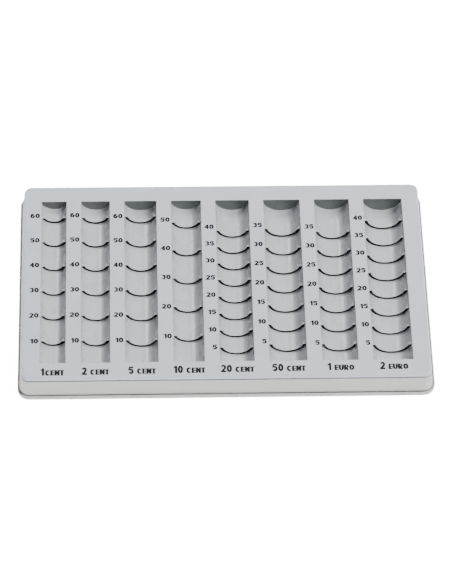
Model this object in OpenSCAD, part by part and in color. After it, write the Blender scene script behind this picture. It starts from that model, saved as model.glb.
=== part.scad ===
// Coin counting tray with eight half-round channels, one per euro coin.
// A deck plate with the channels below it sits on a housing frame, and the whole tray rests in a base pan
// with a projecting rim. X runs along the row of channels, -Y is the front, and Z is up.
// The origin is the middle of the footprint, on the surface that the rubber feet stand on.

/* [Deck] */
// Width of the deck along X
deck_w = 275; // [265:1:300]
// Depth of the deck along Y
deck_d = 157; // [150:1:180]
// Thickness of the deck plate
deck_t = 1.8; // [1.5:0.1:2]
// Corner radius of the deck, seen from above
deck_corner = 5; // [3:0.5:9]
// Rounding of the deck's upper edge
deck_edge = 1.3; // [0.4:0.1:1.4]

/* [Channels] */
// Play of a coin across its channel
coin_play = 1.2; // [0.6:0.1:2]
// Width of deck between two channels
channel_gap = 10; // [8:0.5:12]
// Inside length of every channel
channel_len = 131.5; // [126:0.5:136]
// Wall thickness of a channel
channel_wall = 1.8; // [1.2:0.1:2.2]
// Thickness of a rib along the channel
rib_t = 1.5; // [0.8:0.1:2]
// Height of a rib above the channel's floor
rib_h = 1.9; // [0.8:0.1:2]
// How far a rib's ends lie below the deck's top face
rib_below_top = 2.6; // [2:0.1:4]

/* [Housing] */
// Height of the deck's top face above the table
top_z = 20.2; // [19:0.1:26]
// Wall thickness of the housing frame
housing_wall = 2.2; // [1.6:0.1:3]
// How far the wall's lower edge stands out beyond the deck
housing_draft = 2; // [1:0.1:2.4]
// How far the wall's top edge stands out beyond the deck
housing_step = 0.2; // [0:0.1:0.8]
// Height of the seam groove between deck and housing
seam_h = 1.2; // [0.4:0.1:1.4]
// Depth of the seam groove
seam_depth = 1.5; // [1:0.1:1.6]

/* [Base pan] */
// How far the rim stands out beyond the deck at the sides
rim_w = 3.4; // [3.4:0.1:6]
// How far the rim stands out beyond the deck at the front and back
rim_d = 4; // [3.4:0.1:6]
// Thickness of the pan's floor
rim_t = 1.4; // [1.2:0.1:3]
// Height of the rim above the pan's floor
lip_h = 1; // [0.8:0.1:2]
// Width of the groove between the rim and the tray's foot
groove_w = 0.6; // [0.4:0.1:0.8]
// Height of the gap between the pan's floor and the tray's foot
gap_h = 1.2; // [0.3:0.1:1.6]
// Height of the locating wall above the pan's floor
plinth_h = 4; // [2.5:0.5:6]
// Thickness of the locating wall
plinth_wall = 1.8; // [1.2:0.1:3]
// Clearance between the tray and the base pan
lift_clearance = 0.3; // [0.2:0.05:0.6]

/* [Feet] */
// Diameter of a rubber foot
foot_d = 11; // [8:0.5:14]
// How far a foot stands out below the pan
foot_out = 0.6; // [0.3:0.1:1.5]
// How far a foot sits inside the pan's floor
foot_in = 0.7; // [0.4:0.1:0.9]
// Distance from a foot's centre to the pan's outer edge
foot_inset = 18; // [12:1:30]

/* [Hidden] */

// One entry per channel, from left to right: coin diameter, distance between ribs, number of ribs
coin_d = [16.25, 18.75, 21.25, 19.75, 22.25, 24.25, 23.25, 25.75];
rib_pitch = [20.1, 20.1, 20.2, 23.2, 13.6, 15.7, 15.3, 14.5];
rib_count = [6, 6, 6, 5, 8, 7, 7, 8];

channels = len(coin_d);
function channel_w(i) = coin_d[i] + coin_play;
function channel_r(i) = channel_w(i) / 2;
// Total width of the first n channels with the strips of deck between them
function run_w(n) = n == 0 ? 0 : run_w(n - 1) + channel_w(n - 1) + channel_gap;
row_w = run_w(channels) - channel_gap;
function channel_x(i) = run_w(i) + channel_r(i) - row_w / 2;

deck_under = top_z - deck_t;
rim_z = foot_out;
rim_top = rim_z + rim_t;
housing_low = rim_top + gap_h;
housing_high = deck_under - seam_h;
plinth_top = rim_top + plinth_h;
rest_gap = 0.2;
rest_w = 12;
pan_w = deck_w + 2 * rim_w;
pan_d = deck_d + 2 * rim_d;
pan_corner = deck_corner + rim_w;
inner_w = deck_w - 2 * housing_wall;
inner_d = deck_d - 2 * housing_wall;
inner_corner = deck_corner - housing_wall;
// How far the inside of the wall stands out at height z, compared with its top
function lean(z) = (housing_draft - housing_step) * (housing_high - z) / (housing_high - housing_low);
slice = 0.01;
rib_seat = 0.4;
rib_shift = 0.4;
rib_step = 0.15;
$fn = 96;

light_grey = "#c6c7cb";
trough_grey = "#c2c3c6";
wall_grey = "#c4c4c2";
pan_grey = "#cbcbc9";
foot_grey = "#3a3a3c";

// A rectangle with round corners, centred on the origin
module round_rect(w, d, r) {
    square([w - 2 * r, d], center = true);
    square([w, d - 2 * r], center = true);
    for (x = [-1, 1], y = [-1, 1])
        translate([x * (w / 2 - r), y * (d / 2 - r)]) circle(r);
}

// A flat slice of the rounded rectangle, shrunk by inset on every side
module outline_slice(w, d, r, inset, z) {
    translate([0, 0, z])
        linear_extrude(slice) round_rect(w - 2 * inset, d - 2 * inset, r - inset, $fn = 32);
}

// A slab with a rounded upper edge, standing on z = 0
module soft_slab(w, d, h, r, edge) {
    hull() {
        outline_slice(w, d, r, 0, 0);
        for (a = [0:15:90])
            outline_slice(w, d, r, edge * (1 - cos(a)), h - slice - edge * (1 - sin(a)));
    }
}

// The part of a disc of radius r that lies more than depth below its centre
module lower_disc(r, depth) {
    intersection() {
        circle(r);
        translate([-r - 1, -r - 1]) square([2 * r + 2, r + 1 - depth]);
    }
}

// Stands the XY profiles of a channel up, with their centre on the deck's top face
module along_channel(i, length, y) {
    translate([channel_x(i), y, top_z])
        rotate([90, 0, 0]) linear_extrude(length, center = true) children();
}

// A half ring that stands out by height from the wall of channel i, and ends depth below the deck's top face
module half_ring(i, height, depth) {
    r = channel_r(i);
    difference() {
        lower_disc(r + rib_seat, depth);
        circle(r - height);
    }
}

// A rib, with a low step above its ends that runs up to the deck
module rib(i, j) {
    along_channel(i, rib_t, rib_pitch[i] * j - rib_shift - channel_len / 2) {
        half_ring(i, rib_h, rib_below_top);
        half_ring(i, rib_step, deck_t);
    }
}

module channel(i) {
    r = channel_r(i);
    color(trough_grey) {
        difference() {
            along_channel(i, channel_len + 2 * channel_wall, 0) lower_disc(r + channel_wall, deck_t);
            along_channel(i, channel_len, 0) circle(r);
        }
        for (j = [1:rib_count[i]]) rib(i, j);
    }
}

module deck_plate() {
    color(light_grey) difference() {
        translate([0, 0, deck_under]) soft_slab(deck_w, deck_d, deck_t, deck_corner, deck_edge);
        for (i = [0:channels - 1]) along_channel(i, channel_len, 0) circle(channel_r(i));
    }
}

// Small blocks inside the wall, by which the tray stands on the pan's locating wall
module rest_blocks() {
    z = plinth_top + rest_gap;
    for (x = [-1, 1], y = [-0.3, 0.3])
        translate([x * (inner_w / 2 - 0.4) - 2.6, y * inner_d - rest_w / 2, z]) cube([5.2, rest_w, 4]);
    for (x = [-0.35, 0, 0.35], y = [-1, 1])
        translate([x * inner_w - rest_w / 2, y * (inner_d / 2 - 0.4) - 2.6, z]) cube([rest_w, 5.2, 4]);
}

// The room inside the wall, which widens downwards like the wall does
module housing_room() {
    hull() {
        outline_slice(inner_w, inner_d, inner_corner, -lean(housing_low - 1), housing_low - 1);
        outline_slice(inner_w, inner_d, inner_corner, 0, housing_high);
    }
    translate([0, 0, housing_high]) linear_extrude(5) round_rect(inner_w, inner_d, inner_corner, $fn = 32);
}

module housing_frame() {
    color(wall_grey) {
        difference() {
            union() {
                hull() {
                    outline_slice(deck_w, deck_d, deck_corner, -housing_draft, housing_low);
                    outline_slice(deck_w, deck_d, deck_corner, -housing_step, housing_high - slice);
                }
                translate([0, 0, housing_low + 1]) linear_extrude(deck_under - housing_low - 1)
                    round_rect(deck_w - 2 * seam_depth, deck_d - 2 * seam_depth, deck_corner - seam_depth);
            }
            housing_room();
        }
        rest_blocks();
    }
}

module at_feet() {
    for (x = [-1, 1], y = [-1, 1])
        translate([x * (pan_w / 2 - foot_inset), y * (pan_d / 2 - foot_inset), 0]) children();
}

// Stiffening ribs across the pan's floor, low enough to clear the channels
module floor_ribs() {
    low = 1.4;
    for (x = [-0.36:0.18:0.36])
        translate([x * inner_w - 0.8, -inner_d / 2 + 4, rim_top - 0.1]) cube([1.6, inner_d - 8, low]);
    for (y = [-0.25, 0.25])
        translate([-inner_w / 2 + 4, y * inner_d - 0.8, rim_top - 0.1]) cube([inner_w - 8, 1.6, low]);
}

module base_pan() {
    out = lean(plinth_top) - lift_clearance;
    out_w = inner_w + 2 * out;
    out_d = inner_d + 2 * out;
    out_r = inner_corner + out;
    recess = housing_draft + groove_w;
    color(pan_grey) difference() {
        union() {
            difference() {
                translate([0, 0, rim_z]) soft_slab(pan_w, pan_d, rim_t + lip_h, pan_corner, 0.3);
                translate([0, 0, rim_top]) linear_extrude(lip_h + 1)
                    round_rect(deck_w + 2 * recess, deck_d + 2 * recess, deck_corner + recess);
            }
            translate([0, 0, rim_top - 0.1]) linear_extrude(plinth_h + 0.1) difference() {
                round_rect(out_w, out_d, out_r);
                round_rect(out_w - 2 * plinth_wall, out_d - 2 * plinth_wall, out_r - plinth_wall);
            }
            floor_ribs();
        }
        at_feet() cylinder(d = foot_d + 0.1, h = rim_z + foot_in);
    }
}

module foot(x, y) {
    color(foot_grey)
        translate([x * (pan_w / 2 - foot_inset), y * (pan_d / 2 - foot_inset), 0]) rotate_extrude()
            polygon([[0, 0], [foot_d / 2 - 0.5, 0], [foot_d / 2, 0.5], [foot_d / 2, foot_out + foot_in],
                     [0, foot_out + foot_in]]);
}

base_pan();
foot(-1, -1);  // foot_front_left
foot(1, -1);  // foot_front_right
foot(-1, 1);  // foot_back_left
foot(1, 1);  // foot_back_right
housing_frame();
deck_plate();
channel(0);  // channel_1_cent
channel(1);  // channel_2_cent
channel(2);  // channel_5_cent
channel(3);  // channel_10_cent
channel(4);  // channel_20_cent
channel(5);  // channel_50_cent
channel(6);  // channel_1_euro
channel(7);  // channel_2_euro
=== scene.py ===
"""Looks of the coin counting tray: camera, studio, plastics, black rib faces and the printed scales."""

import math

import bmesh
import bpy
from mathutils import Matrix, Vector
from mathutils.geometry import delaunay_2d_cdt


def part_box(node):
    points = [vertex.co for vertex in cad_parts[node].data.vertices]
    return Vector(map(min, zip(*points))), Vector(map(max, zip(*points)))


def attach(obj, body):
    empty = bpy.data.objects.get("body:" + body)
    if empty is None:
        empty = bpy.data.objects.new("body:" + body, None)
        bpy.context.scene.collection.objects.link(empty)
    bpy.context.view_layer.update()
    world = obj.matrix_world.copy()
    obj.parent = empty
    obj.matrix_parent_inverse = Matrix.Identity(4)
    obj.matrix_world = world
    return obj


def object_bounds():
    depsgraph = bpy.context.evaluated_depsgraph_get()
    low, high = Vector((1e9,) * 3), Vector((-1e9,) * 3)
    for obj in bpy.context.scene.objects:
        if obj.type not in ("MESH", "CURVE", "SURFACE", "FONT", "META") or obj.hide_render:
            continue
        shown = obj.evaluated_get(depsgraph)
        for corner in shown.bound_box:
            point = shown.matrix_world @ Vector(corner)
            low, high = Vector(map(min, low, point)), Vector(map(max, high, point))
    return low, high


MM = 0.001

# One row per channel: CAD node, printed value and unit, counted coins per rib, rib pitch and number of
# ribs, and for the printed scale: baseline of the first number from the channel's near end, number pitch,
# and distance from the numbers to the channel (all in millimetres).
CHANNELS = [
    ("channel_1_cent", "1", "CENT", 10, 20.1, 6, 15.6, 20.45, 1.0),
    ("channel_2_cent", "2", "CENT", 10, 20.1, 6, 15.9, 20.45, 1.0),
    ("channel_5_cent", "5", "CENT", 10, 20.2, 6, 15.8, 20.25, 1.1),
    ("channel_10_cent", "10", "CENT", 10, 23.2, 5, 18.5, 23.8, 0.9),
    ("channel_20_cent", "20", "CENT", 5, 13.6, 8, 9.4, 14.0, 1.5),
    ("channel_50_cent", "50", "CENT", 5, 15.7, 7, 13.6, 15.8, 1.4),
    ("channel_1_euro", "1", "EURO", 5, 15.3, 7, 12.0, 15.8, 1.1),
    ("channel_2_euro", "2", "EURO", 5, 14.5, 8, 11.6, 14.6, 1.4),
]
# Sizes that the CAD channels share: wall, rib thickness and height, how far the ribs' ends stop below the
# deck's face, and how far the row of ribs is moved to the front.
CHANNEL_WALL = 1.8 * MM
RIB_T = 1.5 * MM
RIB_H = 1.9 * MM
RIB_BELOW_TOP = 2.6 * MM
RIB_SHIFT = 0.4 * MM

# Printed films: how far they stand out and how far they reach into the plastic, how far an end wall's
# film stays clear of its edge, and the steps of their curved outlines.
FILM_T = 0.04 * MM
FILM_SINK = 0.01 * MM
FILM_INSET = 0.03 * MM
FILM_STEPS = 48

# Lettering, in millimetres: height, pen width, gap between letters, and the widths of the letters.
# Stretch widens a letter together with its upright strokes.
NUMBER_STYLE = {"height": 3.8, "pen": 0.92, "stretch": 1.4, "gap": 0.2, "width": 3.2, "widths": {"1": 2.2}}
VALUE_STYLE = {"height": 5.8, "pen": 1.3, "stretch": 1.15, "gap": 0.3, "width": 3.6, "widths": {"1": 2.4}}
UNIT_STYLE = {"height": 4.3, "pen": 1.07, "stretch": 1.35, "gap": 0.1, "width": 3.4,
              "widths": {"C": 3.4, "E": 2.75, "T": 2.85, "O": 3.5}}
# Labels: the space between value and unit (tighter on the narrowest channel), how far the baseline lies
# in front of the channel in millimetres, and how much the row of labels climbs per unit of X.
VALUE_TO_UNIT = 2.2
TIGHT_SPACE = 0.6
LABEL_DROP = 8.65
LABEL_SLANT = 0.0092
# Pen strokes: points nearer than this are one point, and a bend is mitred up to this angle, in radians.
SAME_POINT = 1e-6
WIDEST_BEND = 1.2

# Camera: turn to the right, downward tilt and roll in degrees, sensor and focal length in millimetres,
# place in metres.
CAMERA_ANGLES = (3.492, 57.054, 2.34)
CAMERA_SENSOR = 36
CAMERA_LENS = 162.2
CAMERA_PLACE = (-0.0586, -0.9844, 1.5258)
CAMERA_REACH = 20

# White table top: its side in metres, and its albedo and roughness.
FLOOR_SIZE = 8
FLOOR_WHITE = 0.9
FLOOR_ROUGHNESS = 0.9

# Surroundings: the height (as the Z of a direction) over which the table's light fades into the room's,
# and the height below which it starts to fade towards the nadir.
HORIZON_BLUR = 0.03
FADE_START = -0.1

# Plastic: sizes of its colour clouds, specks, drawn marks and eroded grain, the drawn marks' scale along
# Y, the grain's depth, the swing of the roughness, and how far painted shade reaches out of a narrow gap.
CLOUD_SIZE = 18 * MM
SPECK_SIZE = 0.8 * MM
MARK_SIZE = 0.9 * MM
MARK_SCALE_Y = 0.08
GRAIN_SIZE = 0.35 * MM
GRAIN_DEPTH = 0.02 * MM
GLOSS_SWING = 0.05
GAP_SHADE_REACH = 2 * MM

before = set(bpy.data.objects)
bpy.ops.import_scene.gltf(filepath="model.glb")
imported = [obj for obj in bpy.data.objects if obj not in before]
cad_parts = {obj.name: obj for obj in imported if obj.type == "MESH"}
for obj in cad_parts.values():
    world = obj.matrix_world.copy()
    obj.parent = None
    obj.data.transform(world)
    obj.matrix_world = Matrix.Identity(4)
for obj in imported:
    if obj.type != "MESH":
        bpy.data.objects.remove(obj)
cad_low, cad_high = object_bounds()


# ---------------------------------------------------------------- camera, light and floor

def make_camera():
    """A camera in front of the tray that looks down on it, rolled a little."""
    yaw, pitch, roll = (math.radians(a) for a in CAMERA_ANGLES)
    data = bpy.data.cameras.new("camera")
    data.sensor_width = CAMERA_SENSOR
    data.lens = CAMERA_LENS
    data.clip_end = CAMERA_REACH
    camera = bpy.data.objects.new("camera", data)
    bpy.context.scene.collection.objects.link(camera)
    forward = Vector((math.sin(yaw) * math.cos(pitch), math.cos(yaw) * math.cos(pitch), -math.sin(pitch)))
    level = Vector((math.cos(yaw), -math.sin(yaw), 0))
    upright = level.cross(forward)
    right = math.cos(roll) * level + math.sin(roll) * upright
    up = -math.sin(roll) * level + math.cos(roll) * upright
    turn = Matrix((right, up, -forward)).transposed()
    camera.matrix_world = Matrix.Translation(CAMERA_PLACE) @ turn.to_4x4()
    bpy.context.scene.camera = camera


def softbox(name, target, tilt_right, tilt_back, distance, size, watts):
    """A rectangular lamp above the target, tilted from there to the right and to the back, in degrees."""
    data = bpy.data.lights.new(name, "AREA")
    data.shape = "RECTANGLE"
    data.size, data.size_y = size
    data.energy = watts
    lamp = bpy.data.objects.new(name, data)
    bpy.context.scene.collection.objects.link(lamp)
    aim = Vector((math.tan(math.radians(tilt_right)), math.tan(math.radians(tilt_back)), 1)).normalized()
    lamp.location = target + distance * aim
    lamp.rotation_euler = aim.to_track_quat("Z", "Y").to_euler()
    return lamp


def make_world(nadir, below, above):
    """Soft surroundings: light from below the horizon, as from a white table, which fades towards the
    nadir, and a dim room above."""
    world = bpy.data.worlds.new("studio")
    bpy.context.scene.world = world
    world.use_nodes = True
    nodes, links = world.node_tree.nodes, world.node_tree.links
    nodes.clear()
    place = nodes.new("ShaderNodeTexCoord")
    split = nodes.new("ShaderNodeSeparateXYZ")
    table = nodes.new("ShaderNodeMapRange")
    level = nodes.new("ShaderNodeMapRange")
    background = nodes.new("ShaderNodeBackground")
    output = nodes.new("ShaderNodeOutputWorld")
    for name, value in (("From Min", -1), ("From Max", FADE_START), ("To Min", nadir), ("To Max", below)):
        table.inputs[name].default_value = value
    for name, value in (("From Min", -HORIZON_BLUR), ("From Max", HORIZON_BLUR), ("To Max", above)):
        level.inputs[name].default_value = value
    links.new(place.outputs["Generated"], split.inputs[0])
    links.new(split.outputs["Z"], table.inputs["Value"])
    links.new(split.outputs["Z"], level.inputs["Value"])
    links.new(table.outputs[0], level.inputs["To Min"])
    links.new(level.outputs[0], background.inputs["Strength"])
    links.new(background.outputs[0], output.inputs["Surface"])


def make_floor(glow):
    """A plain white table top, which glows so that it stays evenly white, and is clear from underneath."""
    bpy.ops.mesh.primitive_plane_add(size=FLOOR_SIZE, location=(0, 0, cad_low.z))
    floor = bpy.context.object
    floor.name = "floor"
    material = bpy.data.materials.new("white_table")
    material.use_nodes = True
    nodes, links = material.node_tree.nodes, material.node_tree.links
    shader = nodes["Principled BSDF"]
    clear = nodes.new("ShaderNodeBsdfTransparent")
    side = nodes.new("ShaderNodeNewGeometry")
    sides = nodes.new("ShaderNodeMixShader")
    links.new(side.outputs["Backfacing"], sides.inputs[0])
    links.new(shader.outputs[0], sides.inputs[1])
    links.new(clear.outputs[0], sides.inputs[2])
    links.new(sides.outputs[0], nodes["Material Output"].inputs["Surface"])
    shader.inputs["Base Color"].default_value = (FLOOR_WHITE, FLOOR_WHITE, FLOOR_WHITE, 1)
    shader.inputs["Roughness"].default_value = FLOOR_ROUGHNESS
    shader.inputs["Emission Color"].default_value = (1, 1, 1, 1)
    shader.inputs["Emission Strength"].default_value = glow
    floor.data.materials.append(material)
    floor.visible_shadow = False
    floor.visible_diffuse = False
    floor.visible_glossy = False


# ---------------------------------------------------------------- materials

def plastic(name, colour, roughness, grain, mottle=0.03, specular=0.5, streaks=0.0, gap_shade=0.0):
    """Moulded plastic: a fine eroded grain, faint clouds in the colour, and gloss that varies a little.
    Streaks are drawn marks that run along Y, and the last argument sets how much narrow gaps are darkened
    with painted shade from ambient occlusion."""
    material = bpy.data.materials.new(name)
    material.use_nodes = True
    nodes, links = material.node_tree.nodes, material.node_tree.links
    shader = nodes["Principled BSDF"]
    shader.inputs["Specular IOR Level"].default_value = specular
    place = nodes.new("ShaderNodeTexCoord")
    drawn = nodes.new("ShaderNodeVectorMath")
    drawn.operation = "MULTIPLY"
    drawn.inputs[1].default_value = (1, MARK_SCALE_Y, 1)
    links.new(place.outputs["Object"], drawn.inputs[0])

    def noise(size, detail, space=place.outputs["Object"]):
        node = nodes.new("ShaderNodeTexNoise")
        node.inputs["Scale"].default_value = 1 / size
        node.inputs["Detail"].default_value = detail
        links.new(space, node.inputs["Vector"])
        return node

    def remap(source, low, high):
        node = nodes.new("ShaderNodeMapRange")
        node.inputs["From Min"].default_value = 0.3
        node.inputs["From Max"].default_value = 0.7
        node.inputs["To Min"].default_value = low
        node.inputs["To Max"].default_value = high
        links.new(source.outputs["Fac"], node.inputs["Value"])
        return node

    clouds = noise(CLOUD_SIZE, 3)
    specks = noise(SPECK_SIZE, 2)
    erosion = noise(GRAIN_SIZE, 4)
    marks = noise(MARK_SIZE, 2, drawn.outputs[0])

    def times(a, b):
        node = nodes.new("ShaderNodeMath")
        node.operation = "MULTIPLY"
        links.new(a.outputs[0], node.inputs[0])
        links.new(b.outputs[0], node.inputs[1])
        return node

    shade = times(remap(clouds, 1 - mottle, 1 + mottle), remap(specks, 1 - mottle / 2, 1 + mottle / 2))
    shade = times(shade, remap(marks, 1 - streaks, 1 + streaks))
    # Painted shade: the colour darkens where ambient occlusion finds nearby surfaces, in seams and gaps
    # where shade falls.
    if gap_shade:
        gap_occlusion = nodes.new("ShaderNodeAmbientOcclusion")
        gap_occlusion.inputs["Distance"].default_value = GAP_SHADE_REACH
        painted_shade = nodes.new("ShaderNodeMapRange")
        painted_shade.inputs["From Min"].default_value = 0.15
        painted_shade.inputs["From Max"].default_value = 0.6
        painted_shade.inputs["To Min"].default_value = 1 - gap_shade
        links.new(gap_occlusion.outputs["AO"], painted_shade.inputs["Value"])
        shade = times(shade, painted_shade)
    tint = nodes.new("ShaderNodeVectorMath")
    tint.operation = "SCALE"
    tint.inputs[0].default_value = colour
    links.new(shade.outputs[0], tint.inputs["Scale"])
    links.new(tint.outputs[0], shader.inputs["Base Color"])
    gloss = remap(clouds, roughness - GLOSS_SWING, roughness + GLOSS_SWING)
    links.new(gloss.outputs[0], shader.inputs["Roughness"])
    bump = nodes.new("ShaderNodeBump")
    bump.inputs["Strength"].default_value = grain
    bump.inputs["Distance"].default_value = GRAIN_DEPTH
    links.new(erosion.outputs["Fac"], bump.inputs["Height"])
    links.new(bump.outputs[0], shader.inputs["Normal"])
    return material


def dress(node, material):
    """Gives a CAD node's object one material in all its slots."""
    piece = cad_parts[node]
    if not piece.material_slots:
        piece.data.materials.append(material)
    for slot in piece.material_slots:
        slot.material = material


# ---------------------------------------------------------------- printed pieces

def add_piece(name, bm, material, body="tray"):
    """Makes a piece of a finished bmesh and hangs it on its body."""
    bmesh.ops.recalc_face_normals(bm, faces=bm.faces)
    mesh = bpy.data.meshes.new(name)
    bm.to_mesh(mesh)
    bm.free()
    mesh.materials.append(material)
    piece = bpy.data.objects.new(name, mesh)
    bpy.context.scene.collection.objects.link(piece)
    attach(piece, body)


def channel_place(node):
    """Middle of a channel, its inner radius, and the Y of its near end, in metres."""
    low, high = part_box(node)
    outer_radius = math.hypot((high.x - low.x) / 2, cad_high.z - high.z)
    return (low.x + high.x) / 2, outer_radius - CHANNEL_WALL, low.y + CHANNEL_WALL


def film_on(bm, outline, y):
    """A closed film on a face that looks to the front at Y. The outline is pairs of inner and outer points
    in XZ."""
    rows = []
    for inner, outer in outline:
        corners = [(x, depth, z) for x, z in (inner, outer) for depth in (y + FILM_SINK, y - FILM_T)]
        rows.append([bm.verts.new(corner) for corner in corners])
    for a, b in zip(rows, rows[1:]):
        for p, q in ((0, 1), (1, 3), (3, 2), (2, 0)):
            bm.faces.new((a[p], a[q], b[q], b[p]))
    for ring in (rows[0], rows[-1]):
        bm.faces.new((ring[0], ring[1], ring[3], ring[2]))


def rib_film(bm, middle, radius, top, y):
    """The black film on a rib's front face, which is a half ring."""
    outline = []
    for k in range(FILM_STEPS + 1):
        pair = []
        for r in (radius - RIB_H, radius):
            reach = math.acos(RIB_BELOW_TOP / r)
            angle = -reach + 2 * reach * k / FILM_STEPS
            pair.append((middle + r * math.sin(angle), top - r * math.cos(angle)))
        outline.append(pair)
    film_on(bm, outline, y)


def end_film(bm, middle, radius, top, y):
    """The dark film on a channel's far end wall, which is a half disc."""
    reach = radius - FILM_INSET
    outline = []
    for k in range(1, FILM_STEPS):
        angle = math.pi * (k / FILM_STEPS - 0.5)
        x = middle + reach * math.sin(angle)
        outline.append(((x, top - 2 * FILM_INSET), (x, top - reach * math.cos(angle))))
    film_on(bm, outline, y)


def arc(x, y, rx, ry, start, end, steps=20):
    """Points along an ellipse's arc, from one angle to another, in degrees."""
    angles = [math.radians(start + (end - start) * k / steps) for k in range(steps + 1)]
    return [(x + rx * math.cos(a), y + ry * math.sin(a)) for a in angles]


def strokes_of(letter, w, h, t):
    """The pen strokes that make a letter of width w and height h: pairs of a centre line and a pen width,
    which is t or a little thinner. Bare fractions are shares of the width, the height or the pen."""
    x, y, left, right, low, high = w / 2, h / 2, t / 2, w - t / 2, t / 2, h - t / 2
    rx, ry = x - left, y - low
    bowl = 0.56 * ry
    thin = 0.75 * t
    if letter in "0O":
        return [(arc(x, y, rx, ry, 0, 360, 40), t)]
    if letter == "1":
        return [([(right, 0), (right, h)], t), ([(right, 0.84 * h), (0, 0.72 * h)], thin)]
    if letter == "2":
        return [(arc(x, high - bowl, rx, bowl, 165, -35) + [(0.6 * t, low)], t), ([(0, low), (w, low)], t)]
    if letter == "3":
        return [(arc(x, high - 0.48 * ry, 0.92 * rx, 0.48 * ry, 155, -90), t),
                (arc(x, low + 0.52 * ry, rx, 0.52 * ry, 90, -155), t)]
    if letter == "4":
        return [([(0.7 * w, 0), (0.7 * w, h)], t), ([(0, 0.31 * h), (w, 0.31 * h)], thin),
                ([(0.68 * w, h - 0.3 * t), (0.4 * t, 0.34 * h)], thin)]
    if letter == "5":
        return [([(0.16 * w, high), (0.94 * w, high)], t), ([(0.22 * w, high), (0.15 * w, 0.48 * h)], thin),
                (arc(x, low + 0.62 * ry, rx, 0.62 * ry, 140, -160), t)]
    if letter == "6":
        return [(arc(x, low + 0.6 * ry, rx, 0.6 * ry, 0, 360, 36), t),
                ([(left, low + 0.6 * ry), (left, y)] + arc(x, y, rx, ry, 180, 50), t)]
    if letter == "C":
        return [(arc(x, y, rx, ry, 42, 318, 30), t)]
    if letter == "E":
        arms = [([(0, level), (w, level)], thin) for level in (low, y, high)]
        return [([(left, 0), (left, h)], t)] + arms
    if letter == "N":
        return [([(left, 0), (left, h)], t), ([(right, 0), (right, h)], t),
                ([(0.6 * t, h - 0.3 * t), (w - 0.6 * t, 0.3 * t)], thin)]
    if letter == "T":
        return [([(0, high), (w, high)], thin), ([(x, 0), (x, high)], t)]
    if letter == "U":
        return [([(left, h)] + arc(x, low + 0.7 * ry, rx, 0.7 * ry, 180, 360) + [(right, h)], t)]
    if letter == "R":
        return [([(left, 0), (left, h)], t),
                ([(0, high), (x, high)] + arc(x, high - 0.5 * ry, rx, 0.5 * ry, 90, -90) + [(0, y)], thin),
                ([(0.9 * x, y), (w - 0.55 * t, 0)], t)]
    raise ValueError("no strokes for " + letter)


def quads_along(line, pen):
    """The rectangles of a pen stroke, one along each piece of its centre line, whose corners meet."""
    points = [Vector(p) for p in line]
    points = [p for k, p in enumerate(points) if k == 0 or (p - points[k - 1]).length > SAME_POINT]
    closed = (points[0] - points[-1]).length < SAME_POINT
    ways = [(b - a).normalized() for a, b in zip(points, points[1:])]
    quads = []
    for k, way in enumerate(ways):
        across = Vector((-way.y, way.x)) * pen / 2
        ends = []
        for near in (k - 1, k + 1):
            free = not closed and not 0 <= near < len(ways)
            bend = 0 if free else way.angle(ways[near % len(ways)])
            ends.append(way * pen / 2 * math.tan(min(bend, WIDEST_BEND) / 2))
        start, end = points[k] - ends[0], points[k + 1] + ends[1]
        quads.append((start + across, start - across, end - across, end + across))
    return quads


def letter_widths(text, style):
    """The width of each letter, in millimetres."""
    return [style["widths"].get(letter, style["width"]) for letter in text]


def text_width(text, style):
    """The width of a whole text, in millimetres."""
    return sum(letter_widths(text, style)) + style["gap"] * (len(text) - 1)


def write(bm, text, style, x, y, top, align):
    """Prints flat letters on the deck as closed meshes. Align 0 starts them at x, and 1 ends them there.
    Both x and y are in metres, and y is the baseline."""
    stretch = style["stretch"]
    start = -align * text_width(text, style)
    for letter, width in zip(text, letter_widths(text, style)):
        corners, faces = [], []
        for line, pen in strokes_of(letter, width / stretch, style["height"], style["pen"]):
            for quad in quads_along(line, pen):
                faces.append(list(range(len(corners), len(corners) + 4)))
                corners.extend(quad)
        flat, _, triangles, _, _, sources = delaunay_2d_cdt(corners, [], faces, 1, 10 * SAME_POINT)
        inked = [tri for tri, source in zip(triangles, sources) if source]
        used = sorted({k for tri in inked for k in tri})
        spots = {k: (x + (start + flat[k].x * stretch) * MM, y + flat[k].y * MM) for k in used}
        upper = {k: bm.verts.new((*spots[k], top + FILM_T)) for k in used}
        lower = {k: bm.verts.new((*spots[k], top - FILM_SINK)) for k in used}
        rims = {}
        for tri in inked:
            bm.faces.new([upper[k] for k in tri])
            bm.faces.new([lower[k] for k in reversed(tri)])
            for a, b in zip(tri, tri[1:] + tri[:1]):
                rims[frozenset((a, b))] = rims.get(frozenset((a, b)), 0) + 1
        for a, b in (tuple(edge) for edge, uses in rims.items() if uses == 1):
            bm.faces.new((upper[a], upper[b], lower[b], lower[a]))
        start += width + style["gap"]


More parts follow.
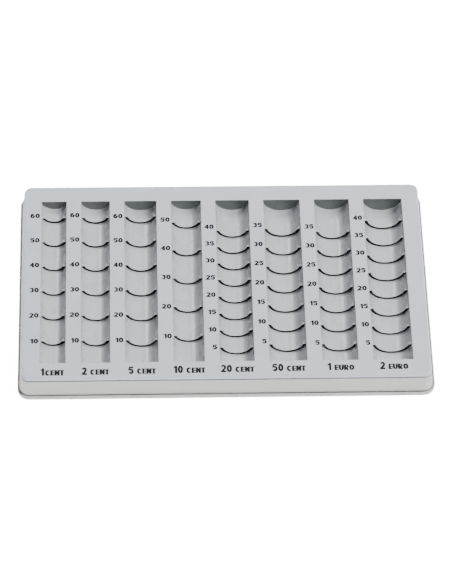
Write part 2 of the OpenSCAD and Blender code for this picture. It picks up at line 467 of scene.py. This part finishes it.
def print_channel(row, black, dark):
    """Prints one channel: its rib faces, its end wall, the numbers on its left and the label in front."""
    node, value, unit, coins, rib_pitch, ribs, first, number_pitch, number_gap = row
    middle, radius, near_end = channel_place(node)
    far_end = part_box(node)[1].y - CHANNEL_WALL
    top = cad_high.z
    name = node.removeprefix("channel_")
    films, end, numbers, label = bmesh.new(), bmesh.new(), bmesh.new(), bmesh.new()
    for rib in range(1, ribs + 1):
        rib_film(films, middle, radius, top, near_end + rib * rib_pitch * MM - RIB_SHIFT - RIB_T / 2)
        baseline = near_end + (first + (rib - 1) * number_pitch) * MM
        write(numbers, str(coins * rib), NUMBER_STYLE, middle - radius - number_gap * MM, baseline, top, 1)
    end_film(end, middle, radius, top, far_end)
    space = TIGHT_SPACE if node == "channel_1_cent" else VALUE_TO_UNIT
    value_width, unit_width = text_width(value, VALUE_STYLE), text_width(unit, UNIT_STYLE)
    start = middle - (value_width + unit_width + space) / 2 * MM
    baseline = near_end - LABEL_DROP * MM + LABEL_SLANT * middle
    write(label, value, VALUE_STYLE, start, baseline, top, 0)
    write(label, unit, UNIT_STYLE, start + (value_width + space) * MM, baseline, top, 0)
    add_piece("rib_faces_" + name, films, black)
    add_piece("end_face_" + name, end, dark)
    add_piece("numbers_" + name, numbers, black)
    add_piece("label_" + name, label, black)


# ---------------------------------------------------------------- the scene

make_camera()
target = (cad_low + cad_high) / 2
softbox("key_softbox", target, tilt_right=30.5, tilt_back=0, distance=4, size=(0.46, 1), watts=195)
back = softbox("back_softbox", target, tilt_right=0, tilt_back=30, distance=1.8, size=(0.5, 0.4), watts=13)
streak = softbox("streak_softbox", target, tilt_right=-38.4, tilt_back=39.6, distance=4, size=(0.5, 1.2),
                 watts=40)
edge = softbox("edge_softbox", target, tilt_right=0, tilt_back=68, distance=4, size=(3, 0.8), watts=60)
# The back lamp only lights surfaces and isn't mirrored in them. The streak and edge lamps are only
# mirrored.
back.visible_glossy = False
streak.visible_diffuse = False
edge.visible_diffuse = False
make_world(nadir=0.5, below=5.9, above=0.05)
make_floor(glow=15)

deck_grey = plastic("deck_satin_grey", (0.72, 0.745, 0.835), roughness=0.4, grain=0.25)
channel_grey = plastic("channel_satin_grey", (0.56, 0.57, 0.6), roughness=0.28, grain=0.2, mottle=0.04,
                       streaks=0.04)
# The housing and the pan carry painted shade in their seam and in the groove above the rim.
housing_grey = plastic("housing_satin_grey", (0.62, 0.62, 0.605), roughness=0.45, grain=0.25, gap_shade=0.75)
pan_grey = plastic("pan_satin_grey", (0.68, 0.68, 0.67), roughness=0.45, grain=0.25, gap_shade=0.75)
rubber = plastic("foot_rubber_black", (0.035, 0.035, 0.038), roughness=0.75, grain=0.6, mottle=0.1)
black = plastic("printing_ink_black", (0.01, 0.01, 0.011), roughness=0.6, grain=0.15, mottle=0.2,
                specular=0.2)
dark = plastic("end_wall_dark_grey", (0.2, 0.222, 0.218), roughness=0.35, grain=0.1, mottle=0.08,
               streaks=0.1)

dress("deck_plate", deck_grey)
dress("housing_frame", housing_grey)
dress("base_pan", pan_grey)
for side in ("front_left", "front_right", "back_left", "back_right"):
    dress("foot_" + side, rubber)
for row in CHANNELS:
    dress(row[0], channel_grey)
    print_channel(row, black, dark)
